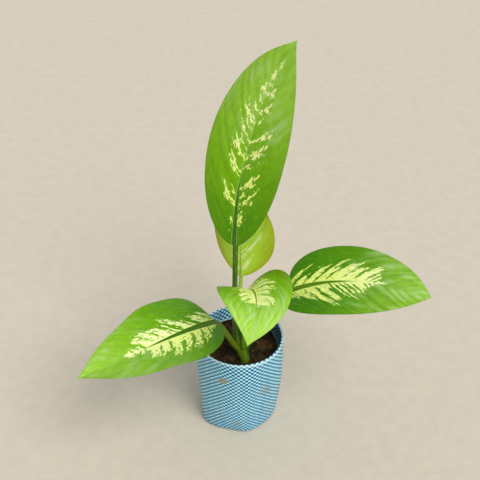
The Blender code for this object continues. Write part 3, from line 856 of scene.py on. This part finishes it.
def soil_height(x, y):
    bumps = math.sin(95 * x + 1.3) * math.cos(80 * y - 0.4)
    bumps += 0.6 * math.sin(170 * x - 130 * y + 2.1)
    bumps += 0.4 * math.cos(260 * x + 210 * y)
    away_x = (x - SOIL_DIP_AT[0]) / SOIL_DIP_SIZE[0]
    away_y = (y - SOIL_DIP_AT[1]) / SOIL_DIP_SIZE[1]
    return SOIL_HEIGHT + SOIL_BUMP * bumps - SOIL_DIP * math.exp(-(away_x**2) - away_y**2)


def soil_surface(x, y):
    """The soil's top with its clods and grains."""
    clods = noise.fractal(Vector((x * CLODS_PER_METRE, y * CLODS_PER_METRE, 2.0)), 1.0, 2.0, 4)
    grains = noise.noise(Vector((x * GRAINS_PER_METRE, y * GRAINS_PER_METRE, 7.0)))
    return soil_height(x, y) + SOIL_CLOD * clods + SOIL_GRAIN * grains


def soil():
    angles = np.arange(SOIL_SPOKES) / SOIL_SPOKES * 2 * math.pi
    edge = bag_radius(angles, SOIL_HEIGHT) - BAG_WALL - SOIL_GAP
    points = []
    for ring in range(SOIL_RINGS):
        for angle, radius in zip(angles, edge * (1 - ring / SOIL_RINGS)):
            x, y = radius * math.cos(angle), radius * math.sin(angle)
            points.append((x, y, soil_surface(x, y)))
    faces = grid_faces(SOIL_RINGS, SOIL_SPOKES, closed=True)
    points.append((0, 0, soil_surface(0, 0)))
    faces += fan((SOIL_RINGS - 1) * SOIL_SPOKES, len(points) - 1, SOIL_SPOKES)
    previous = 0
    for height in SOIL_SIDE_HEIGHTS:
        start = len(points)
        clear = SOIL_SIDE_CLEARANCE * math.sin(math.pi * height / BAG_HEIGHT)
        inner = bag_radius(angles, np.full(SOIL_SPOKES, height)) - BAG_WALL - SOIL_GAP - clear
        if height < BASE_ROUNDING:
            inner = inner - SOIL_FLOOR_INSET
        points.extend((r * math.cos(a), r * math.sin(a), height) for a, r in zip(angles, inner))
        faces += band(start, previous, SOIL_SPOKES)
        previous = start
    points.append((0, 0, SOIL_SIDE_HEIGHTS[-1]))
    faces += fan(previous, len(points) - 1, SOIL_SPOKES, flip=True)
    look = soil_material()
    part_of_plant(mesh_object("soil_surface", points, faces, look, sharp=80), "soil", "potting_soil")
    draw = np.random.default_rng(LUMP_SEED)
    bark = speck_material("bark", BARK_BROWN)
    perlite = speck_material("perlite", PERLITE_WHITE)
    scatter("soil_crumbs", *CRUMBS, look, draw)
    scatter("bark_chips", *BARK_CHIPS, bark, draw)
    scatter("perlite_grains", *PERLITE, perlite, draw)


def lump(centre, size, flatness, draw):
    """Points and faces of one irregular pebble-like lump."""
    turn = Matrix.Rotation(draw.uniform(0, 6.3), 3, Vector(draw.normal(size=3)).normalized())
    stretch = Vector((1.0, draw.uniform(0.6, 1.0), flatness * draw.uniform(0.8, 1.1))) * size
    seed = Vector((draw.uniform(0, 100), 0, 0))
    points = []
    for level in range(LUMP_LEVELS):
        tilt = math.pi * (level + 0.6) / (LUMP_LEVELS + 0.2)
        for side in range(LUMP_SIDES):
            angle = 2 * math.pi * (side + 0.5 * (level % 2)) / LUMP_SIDES
            flat = math.sin(tilt)
            ray = Vector((flat * math.cos(angle), flat * math.sin(angle), math.cos(tilt)))
            ray *= 1 + LUMP_ROUGHNESS * noise.noise(ray * 1.7 + seed)
            points.append(turn @ Vector(a * b for a, b in zip(ray, stretch)) + centre)
    for end in (1, -1):
        points.append(turn @ Vector((0, 0, end * stretch.z)) + centre)
    last = (LUMP_LEVELS - 1) * LUMP_SIDES
    faces = grid_faces(LUMP_LEVELS, LUMP_SIDES, closed=True, flip=True)
    faces += fan(0, last + LUMP_SIDES, LUMP_SIDES)
    faces += fan(last, last + LUMP_SIDES + 1, LUMP_SIDES, flip=True)
    return points, faces


def scatter(name, count, sizes, flatness, look, draw):
    """Lumps that lie half sunk on the soil, clear of the stem and the bag."""
    points = []
    faces = []
    made = 0
    while made < count:
        angle = draw.uniform(0, 2 * math.pi)
        size = between(sizes, draw.uniform() ** 2)
        edge = float(bag_radius(np.array(angle), SOIL_HEIGHT)) - BAG_WALL - LUMP_CLEARANCE - size
        radius = edge * math.sqrt(draw.uniform())
        x, y = radius * math.cos(angle), radius * math.sin(angle)
        if math.hypot(x - STEM_AT_SOIL.x, y - STEM_AT_SOIL.y) < STEM_RADIUS_FOOT + size:
            continue
        centre = Vector((x, y, soil_surface(x, y) + size * flatness * LUMP_SUNK))
        lump_points, lump_faces = lump(centre, size, flatness, draw)
        shift = len(points)
        points.extend(lump_points)
        faces.extend(tuple(index + shift for index in face) for face in lump_faces)
        made += 1
    part_of_plant(mesh_object(name, points, faces, look, sharp=50), "soil")


def soil_material():
    made, tree = new_material("potting_mix", SOIL_GLOSS)
    place = place_of(tree)
    patch = step_up(grain(place, *SOIL_PATCH_NOISE), 0.42, 0.66)
    speck = step_up(grain(place, *SOIL_SPECK_NOISE), 0.40, 0.75)
    finished(made, mix(patch * 0.65 + speck * 0.35, SOIL_DARK, SOIL_BROWN), SOIL_ROUGHNESS)
    return with_relief(made, grain(place, *SOIL_RELIEF_NOISE), 0.0006, 0.8)


def speck_material(name, tone):
    made, tree = new_material(name, SOIL_GLOSS)
    place = place_of(tree)
    shade = step_up(grain(place, *CHIP_NOISE), 0.3, 0.7)
    finished(made, mix(shade, darker(tone, 0.45), tone), SPECK_ROUGHNESS)
    return with_relief(made, grain(place, *CHIP_RELIEF_NOISE), 0.0004, 0.6)


# Stem and stalks


def stem_centre(t):
    if t < STEM_SOIL_SHARE:
        return STEM_ROOT.lerp(STEM_AT_SOIL, t / STEM_SOIL_SHARE)
    above = (t - STEM_SOIL_SHARE) / (1 - STEM_SOIL_SHARE)
    return bezier(STEM_AT_SOIL, STEM_AT_SOIL.lerp(STEM_MIDDLE, 0.4), STEM_MIDDLE, STEM_TOP, above)


def stem_radius(t):
    away = (t * STEM_LENGTH) % STEM_RING_PITCH - STEM_RING_PITCH / 2
    ring = math.exp(-((away / STEM_RING_WIDTH) ** 2))
    return between((STEM_RADIUS_FOOT, STEM_RADIUS_TOP), t) + STEM_RING_RISE * ring


def swept_tube(name, centres, radii, across, sides, section, look):
    """A closed tube along the centres. across points to its side at the last centre, and section(index,
    angle) scales its radius. Its attribute starts with the way along.
    """
    rings = []
    fields = []
    last = len(centres) - 1
    for index in range(last, -1, -1):
        along = (centres[min(index + 1, last)] - centres[max(index - 1, 0)]).normalized()
        across = (across - along * across.dot(along)).normalized()
        up = across.cross(along)
        for side in range(sides):
            angle = 2 * math.pi * side / sides
            reach = radii[index] * section(index, angle)
            rings.append(centres[index] + (across * math.cos(angle) + up * math.sin(angle)) * reach)
            fields.append((index / last, 0, 0))
    faces = grid_faces(last + 1, sides, closed=True)
    faces += [tuple(range(sides))[::-1], tuple(range(last * sides, (last + 1) * sides))]
    return mesh_object(name, rings, faces, look, {"stalk": fields}, sharp=70)


def flute(index, angle):
    """How the stem's section leaves a circle."""
    return 1 + STEM_FLUTE * math.sin(3 * angle + index * 0.1)


def stem():
    shares = [section / STEM_SECTIONS for section in range(STEM_SECTIONS + 1)]
    centres = [stem_centre(share) for share in shares]
    radii = [stem_radius(share) for share in shares]
    top = centres[-1]
    up = (top - centres[-2]).normalized()
    for narrowing, push in STEM_TIP:
        centres.append(top + up * push)
        radii.append(STEM_RADIUS_TOP * narrowing)
    look = stalk_material("stem_skin", STEM_GREEN, STEM_PALE, STEM_BROWN)
    side = Vector((1, 0, 0))
    made = swept_tube("stem_skin", centres, radii, side, STEM_SIDES, flute, look)
    part_of_plant(made, "stem_tissue", "stem")


def stalk_material(name, dark, pale, foot):
    """Skin of a stem or stalk: streaks and small flecks along it, brownish at its foot."""
    made, tree = new_material(name, STALK_GLOSS)
    along = attribute(tree, "stalk")[0]
    place = place_of(tree)
    mapping = tree.nodes.new("ShaderNodeMapping")
    mapping.inputs["Scale"].default_value = STALK_STRETCH
    feed(tree, place, mapping.inputs["Vector"])
    streak = grain(Field(tree, mapping.outputs[0]), *STALK_NOISE)
    colour = mix(step_up(streak, 0.42, 0.72), dark, pale)
    at_foot = step_down(along, 0.0, 0.35) * step_up(grain(place, *FOOT_NOISE), 0.35, 0.6)
    finished(made, mix(at_foot, colour, foot), STALK_ROUGHNESS)
    return with_relief(made, streak, 0.0003, 0.3)


# Leaves


class Blade:
    """A leaf blade's surface. At places(u, s), u runs from 0 at the base to 1 at the tip, and s from -1
    at the left edge to 1 at the right edge.
    """

    def __init__(self, form):
        self.form = form
        heading = math.radians(form["heading"])
        rise = math.radians(form["rise"])
        roll = math.radians(form["roll"])
        flat = Vector((math.cos(heading), math.sin(heading), 0))
        along = flat * math.cos(rise) + Vector((0, 0, math.sin(rise)))
        level = Vector((flat.y, -flat.x, 0))
        upward = level.cross(along)
        side = level * math.cos(roll) + upward * math.sin(roll)
        up = upward * math.cos(roll) - level * math.sin(roll)
        turned = Matrix((along, side, up)).transposed()
        place = Vector(form["base"])
        places = [place]
        frames = [turned]
        stride = form["length"] / BLADE_STEPS
        for index in range(BLADE_STEPS):
            share = (index + 0.5) / BLADE_STEPS
            arch = between(form["arch"], share)
            sweep = between(form["sweep"], share)
            turn = Vector((form["twist"], arch, sweep)) * (math.radians(1) / BLADE_STEPS)
            half = Matrix.Rotation(turn.length / 2, 3, turn)
            place = place + (turned @ half).col[0] * stride
            turned = turned @ half @ half
            places.append(place)
            frames.append(turned)
        self.spots = np.array(places)
        self.frames = np.array([np.array(one) for one in frames])

    def station(self, u):
        """Place on the midrib, and the directions along, to the side and up there."""
        exact = np.asarray(u, float) * BLADE_STEPS
        index = np.minimum(exact.astype(int), BLADE_STEPS - 1)
        share = (exact - index)[..., None]
        place = self.spots[index] * (1 - share) + self.spots[index + 1] * share
        axes = self.frames[index] * (1 - share[..., None]) + self.frames[index + 1] * share[..., None]
        axes = axes / np.linalg.norm(axes, axis=-2, keepdims=True)
        return place, axes[..., 0], axes[..., 1], axes[..., 2]

    def of_half(self, key, s):
        """The form's value for the half of the blade that s lies in."""
        left, right = self.form[key]
        return np.where(s > 0, right, left)

    def half_width(self, u, s):
        """Width of the half of the blade that s lies in."""
        bluntness = self.of_half("bluntness", s)
        taper = self.of_half("taper", s)
        widest = bluntness / (bluntness + taper)
        grow = np.clip(u / widest, 0, None) ** bluntness
        shrink = np.clip((1 - u) / (1 - widest), 0, None) ** taper
        drawn_out = 1 - self.form["point"] * np.exp((u - 1) / TIP_REACH)
        return np.maximum(self.of_half("half_width", s) * grow * shrink * drawn_out, BLADE_EDGE)

    def places(self, u, s):
        form = self.form
        place, _, side, up = self.station(u)
        reach = self.half_width(u, s) * np.abs(s)
        fold = np.radians(between(form["fold"], u))
        start = np.where(s > 0, RIGHT_WAVE_START, LEFT_WAVE_START)
        wave = form["wave"] * np.sin(EDGE_WAVES * u + start) * s * s * np.sin(math.pi * u)
        rise = reach * np.sin(fold) - self.of_half("curl", s) * reach * np.abs(s) + wave
        return place + side * (np.sign(s) * reach * np.cos(fold))[..., None] + up * rise[..., None]

    def vein_start(self, u, s):
        """Where along the midrib the side vein through a point of the blade leaves it."""
        reach = self.half_width(u, s) * np.abs(s) / self.form["length"]
        lean = self.of_half("vein_lean", s) + self.form["vein_sweep"] * u**3 + VEIN_BEND * np.abs(s)
        return u - reach * lean

    def swell(self, u, s):
        """From 0 on a side vein to 1 midway between two, where the tissue stands highest."""
        start = self.vein_start(u, s)
        phase = self.form["veins"] * start + VEIN_UNEVEN[0] * np.sin(9 * start + self.form["seed"])
        phase = phase + VEIN_UNEVEN[1] * np.sin(25 * start + 3 * s) + 0.5 * (s > 0)
        return (0.5 - 0.5 * np.cos(2 * math.pi * phase)) ** SWELL_ROUNDNESS

    def ripple(self, u, s):
        """Relief of the blade between the side veins, uneven from vein to vein."""
        inside = np.clip(np.abs(s) * 6, 0, 1) * (1 - np.abs(s) ** 5)
        fade = inside * np.sin(math.pi * np.clip(u, 0, 1)) ** 0.4
        uneven = 0.7 + 0.5 * np.sin(5 * self.vein_start(u, s) + 2 * s + self.form["seed"])
        return RIPPLE * self.swell(u, s) * fade * uneven


def twice(values):
    """Values for the points of a blade's upper face, and again for those of its lower face."""
    return np.tile(values.ravel(), 2)


def blade_mesh(name, blade, look):
    turns = np.linspace(ROWS_START, 1, BLADE_ROWS + 1)
    rows = (1 - np.cos(math.pi * turns)) / 2
    rows = (rows - rows[0]) / (rows[-1] - rows[0])
    turns = np.linspace(-1, 1, BLADE_COLUMNS + 1) * math.pi / 2 * COLUMNS_SPREAD
    columns = np.sin(turns) / math.sin(math.pi / 2 * COLUMNS_SPREAD)
    u, s = np.meshgrid(rows, columns, indexing="ij")
    middle = blade.places(u, s)
    normal = np.cross(np.gradient(middle, axis=1), np.gradient(middle, axis=0))
    normal /= np.maximum(np.linalg.norm(normal, axis=-1, keepdims=True), 1e-12)
    normal[:2] = normal[2]
    normal[-2:] = normal[-3]
    thick = BLADE_THICKNESS * (1 - EDGE_THINNING * s * s)[..., None]
    relief = blade.ripple(u, s)[..., None]
    upper = middle + normal * (thick / 2 + relief)
    lower = middle + normal * (-thick / 2 + relief)
    high, wide = u.shape
    points = np.concatenate([upper.reshape(-1, 3), lower.reshape(-1, 3)])
    faces = grid_faces(high, wide) + grid_faces(high, wide, first=high * wide, flip=True)
    border = list(range(wide))
    border += [row * wide + wide - 1 for row in range(1, high)]
    border += [(high - 1) * wide + column for column in range(wide - 2, -1, -1)]
    border += [row * wide for row in range(high - 2, 0, -1)]
    for first, second in zip(border, border[1:] + border[:1]):
        faces.append((second, first, first + high * wide, second + high * wide))
    away = blade.half_width(u, s) * np.abs(s) * 1000
    fields = {
        "leaf": np.column_stack([twice(u), twice(s), np.repeat([1.0, -1.0], u.size)]),
        "vein": np.column_stack([twice(blade.vein_start(u, s)), twice(away), twice(blade.swell(u, s))]),
    }
    return mesh_object(name, points, faces, look, fields, sharp=50)


def cream_fingers(form, start, q, right, lane):
    """How cream the blade is: frayed fingers along the side veins, split and broken, with flecks."""
    reach = ramp(start, form["cream_left"]) * (1.0 - right) + ramp(start, form["cream_right"]) * right
    present = step_up(reach, 0.02, 0.10)
    sway, wobble, shift, frill = (
        blade_noise(start, q, lane, kind) - 0.5
        for kind in (SWAY_NOISE, WOBBLE_NOISE, REACH_NOISE, FRILL_NOISE)
    )
    fingers = []
    for count, low, high, wide, offset in form["finger_sets"]:
        moved = start + sway * FINGER_SWAY + wobble * FINGER_WOBBLE
        course = moved * (form["fingers"] * count) + offset
        pick = chance(maths("FLOOR", course) + lane * 9.0)
        out = (q + shift * FINGER_SHIFT) / (reach * (low + high * pick) + 0.001)
        across = abs(maths("FRACT", course) - 0.5) * 2.0
        across = abs(across - step_up(out, *FINGER_FORK) * form["fork"])
        width = ramp(out, form["finger"]) * wide
        finger = step_up(width - across + frill * form["fray"], 0.0, 0.12)
        finger = finger * step_down(out, *FINGER_END)
        fingers.append(finger * step_up(pick, form["gaps"], form["gaps"] + 0.01))
    holes = step_up(blade_noise(start, q, lane, HOLE_NOISE) + q * 0.30, 0.66, 0.70)
    cream = highest(fingers) * (1.0 - holes * form["holes"]) * present
    dots = blade_noise(start, q, lane, FLECK_NOISE)
    sparse = FLECK_START - form["flecks"] * present + step_up(q - reach, 0.0, 0.30) * 0.20
    return maths("MAXIMUM", cream, step_up(dots - sparse, 0.0, 0.02))


def leaf_material(name, form):
    """Green blade, lighter to its tip partly as painted sheen, with painted shade near the base and in the
    vein grooves, painted sheen on the swells, a dark midrib and cream fingers beside it.
    """
    made, tree = new_material(name, LEAF_GLOSS, LEAF_GLOSS_TINT)
    u, s, face = attribute(tree, "leaf")
    start, away, swell = attribute(tree, "vein")
    q = abs(s)
    right = step_up(s, -0.001, 0.001)
    lane = right * HALF_LANE + form["seed"]
    broad = blade_noise(start, q, lane, BROAD_NOISE) - 0.5
    fine = blade_noise(start, q, lane, FINE_NOISE) - 0.5
    deep, middle, light = form["greens"]
    ripe = u + broad * 0.5
    green = mix(step_up(ripe, *form["deep_span"]), deep, middle)
    green = mix(step_up(ripe + q * 0.1, *form["light_span"]), green, light)
    mottle = blade_noise(u, s, lane, MOTTLE_NOISE)
    patchy = step_up(blade_noise(u, s, lane, PATCH_NOISE), 0.35, 0.65)
    # Painted shade: darker bands in the grooves along the side veins, where the blade dips
    painted_groove_shade = (1.0 - swell) * form["groove_shade"] * step_up(q, 0.04, 0.3) * patchy
    streaks = step_up(fine, 0.0, 0.25) * form["streaks"] * step_up(u, 0.3, 0.8)
    # Painted sheen: pale streaks running along the blade towards its tip, in the streak colour
    sheen_rays = step_up(blade_noise(s, u, lane, SHEEN_RAY_NOISE), 0.42, 0.66) * form["sheen_rays"]
    # Painted sheen: pale patches on the swells between the side veins, towards the tip
    sheen = step_up(blade_noise(start, q, lane, SHEEN_NOISE), 0.42, 0.68) * swell * form["sheen_strength"]
    rim_tone, rim_strength = form["margin"]
    rim_end, rib_end = form["margin_end"], form["rib_end"]
    rim = step_up(q + broad * 0.5, 0.45, 1.0) * rim_strength
    width = step_down(u, 0.0, rib_end) * form["rib_width"]
    rib = step_down(away - width, -0.25, 0.35) * step_down(u, rib_end * 0.6, rib_end)
    beside = step_down(abs(away - width - 0.45), 0.10, 0.40) * 0.55
    layers = (
        # Painted shade: each half of the blade darker near its base, by the strength the form gives that
        # half
        (between(form["depth"], right) * step_down(u, 0.15, 0.75), deep),
        (marked(broad, DEEP_BLOTCH), deep),
        (marked(mottle, DEEP_MOTTLE), deep),
        (marked_below(mottle, LIGHT_MOTTLE), light),
        (painted_groove_shade, darker(middle, 0.62)),
        (streaks, STREAK),
        (sheen_rays * step_up(u, 0.52, 0.75) * step_down(u, 0.85, 1.0), STREAK),
        (sheen * step_up(u, 0.35, 0.65), PAINTED_SHEEN),
        (rim * step_down(u, rim_end * 0.5, rim_end), rim_tone),
        (beside * step_down(u, 0.45, 0.65), STREAK),
        (rib, form["rib"]),
    )
    for amount, tone in layers:
        green = mix(amount, green, tone)
    cream = cream_fingers(form, start, q, right, lane) * (1.0 - rib)
    warm = mix(step_up(broad * 1.2 + u + right * form["pale_right"], 0.1, 0.8), *form["creams"])
    colour = mix(marked(q, MARGIN_LINE), mix(cream, green, warm), MARGIN)
    below = step_down(face, -0.5, 0.5)
    colour = mix(below * 0.6, colour, UNDERSIDE)
    finished(made, colour, below * 0.2 + fine * 0.15 + cream * 0.05 + LEAF_ROUGHNESS)
    return with_relief(made, fine + swell * 1.5, 0.0004, 0.35)


def stalk_path(form, blade):
    """Centres and radii from the sheath beside the stem, out along the stalk and on as the midrib."""
    t = form["stem_place"]
    node = stem_centre(t)
    above = min(t + NODE_STEP, 1)
    up = (stem_centre(above) - stem_centre(above - 2 * NODE_STEP)).normalized()
    base, along, _, normal = (Vector(one) for one in blade.station(0))
    thick, slim = form["petiole_radius"]
    centres = []
    radii = []
    stem_side = math.radians(form["stem_side"])
    outward = Vector((math.cos(stem_side), math.sin(stem_side), 0))
    outward = (outward - up * outward.dot(up)).normalized()
    if t < 1:
        slimming = PETIOLE_SLIMMING
        beside = node + outward * stem_radius(t) * SHEATH_INSET
        for step in range(SHEATH_STEPS):
            share = step / SHEATH_STEPS
            centres.append(beside - up * SHEATH_LENGTH * (1 - share))
            radii.append(thick * (1 - SHEATH_NARROWING * (1 - share)))
    else:
        slimming = SLEEVE_SLIMMING
        beside = node - up * SLEEVE_LENGTH
        thick = stem_radius(1) + SLEEVE_WALL
    lift, drop = form["bow"]
    handle = beside + (up + outward * form["lean"]).normalized() * lift
    arrive = base - normal * slim * PETIOLE_SEAT
    approach = arrive - along * drop
    for step in range(STALK_SECTIONS + 1):
        share = step / STALK_SECTIONS
        centres.append(bezier(beside, handle, approach, arrive, share))
        radii.append(slim + (thick - slim) * (1 - share) ** slimming)
    stalk_end = len(centres)
    for step in range(1, MIDRIB_SECTIONS + 1):
        u = MIDRIB_END * step / MIDRIB_SECTIONS
        place, _, _, normal = (Vector(one) for one in blade.station(u))
        radius = between((slim, MIDRIB_RADIUS_TIP), u**MIDRIB_NARROWING)
        depth = between(MIDRIB_DEPTH, min(u / MIDRIB_SUNK, 1))
        centres.append(place - normal * radius * depth)
        radii.append(radius)
    return centres, radii, stalk_end


def leaf(name, form):
    blade = Blade(form)
    look = leaf_material(name + "_skin", form)
    made = blade_mesh(name + "_blade", blade, look)
    part_of_plant(made, form["slot"], name)
    centres, radii, stalk_end = stalk_path(form, blade)
    _, _, side, _ = (Vector(one) for one in blade.station(MIDRIB_END))

    def section(index, angle):
        if index > stalk_end:
            return 1
        share = min((stalk_end - index) / CHANNEL_RUN, 1)
        turn = (angle - math.pi / 2 + math.pi) % (2 * math.pi) - math.pi
        return 1 - STALK_CHANNEL * share * math.exp(-((turn / CHANNEL_WIDTH) ** 2))

    dark, pale = form["stalk"]
    look = stalk_material(name + "_stalk_skin", dark, pale, dark)
    stalk = swept_tube(name + "_stalk", centres, radii, side, STALK_SIDES, section, look)
    part_of_plant(stalk, form["slot"])


# Stage, light and camera


def stage():
    corners = [(x * FLOOR_REACH, y * FLOOR_REACH, 0) for x, y in ((-1, -1), (1, -1), (1, 1), (-1, 1))]
    look, tree = new_material("pale_floor", FLOOR_GLOSS)
    tone = step_up(grain(place_of(tree), *FLOOR_NOISE), 0.3, 0.7)
    finished(look, mix(tone, darker(FLOOR_PALE, 0.94), FLOOR_PALE), FLOOR_ROUGHNESS)
    mesh_object("floor", corners, [(0, 1, 2, 3)], look)


def lights():
    sun = bpy.data.lights.new("key", "SUN")
    sun.angle = KEY_SPREAD
    sun.energy = KEY_STRENGTH
    sun.color = KEY_COLOUR
    obj = bpy.data.objects.new("key", sun)
    flat = math.cos(KEY_ELEVATION)
    across, back = math.sin(KEY_AZIMUTH), -math.cos(KEY_AZIMUTH)
    towards = Vector((across * flat, back * flat, math.sin(KEY_ELEVATION)))
    obj.rotation_euler = towards.to_track_quat("Z", "Y").to_euler()
    obj.location = towards * 2
    bpy.context.scene.collection.objects.link(obj)
    world = bpy.data.worlds.new("soft_daylight")
    world.use_nodes = True
    background = world.node_tree.nodes["Background"]
    background.inputs["Color"].default_value = SKY_COLOUR
    background.inputs["Strength"].default_value = SKY_STRENGTH
    bpy.context.scene.world = world
    bpy.context.scene.view_settings.view_transform = "Standard"


def camera():
    lens = bpy.data.cameras.new("camera")
    lens.sensor_width = 36
    lens.lens = lens.sensor_width / 2 / math.tan(CAMERA_ANGLE / 2)
    obj = bpy.data.objects.new("camera", lens)
    obj.location = CAMERA_PLACE
    obj.rotation_euler = (math.pi / 2 - CAMERA_PITCH, 0, 0)
    bpy.context.scene.collection.objects.link(obj)
    bpy.context.scene.camera = obj


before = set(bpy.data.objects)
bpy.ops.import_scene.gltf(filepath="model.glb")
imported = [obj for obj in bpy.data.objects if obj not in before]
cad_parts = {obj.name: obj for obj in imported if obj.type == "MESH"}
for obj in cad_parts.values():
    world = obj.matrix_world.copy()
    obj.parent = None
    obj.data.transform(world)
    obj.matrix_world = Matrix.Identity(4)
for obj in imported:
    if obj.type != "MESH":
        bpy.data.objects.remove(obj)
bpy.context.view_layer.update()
camera()
grow_bag()
soil()
stem()
for leaf_name, leaf_form in LEAVES.items():
    leaf(leaf_name, {**COMMON, **leaf_form})
stage()
lights()
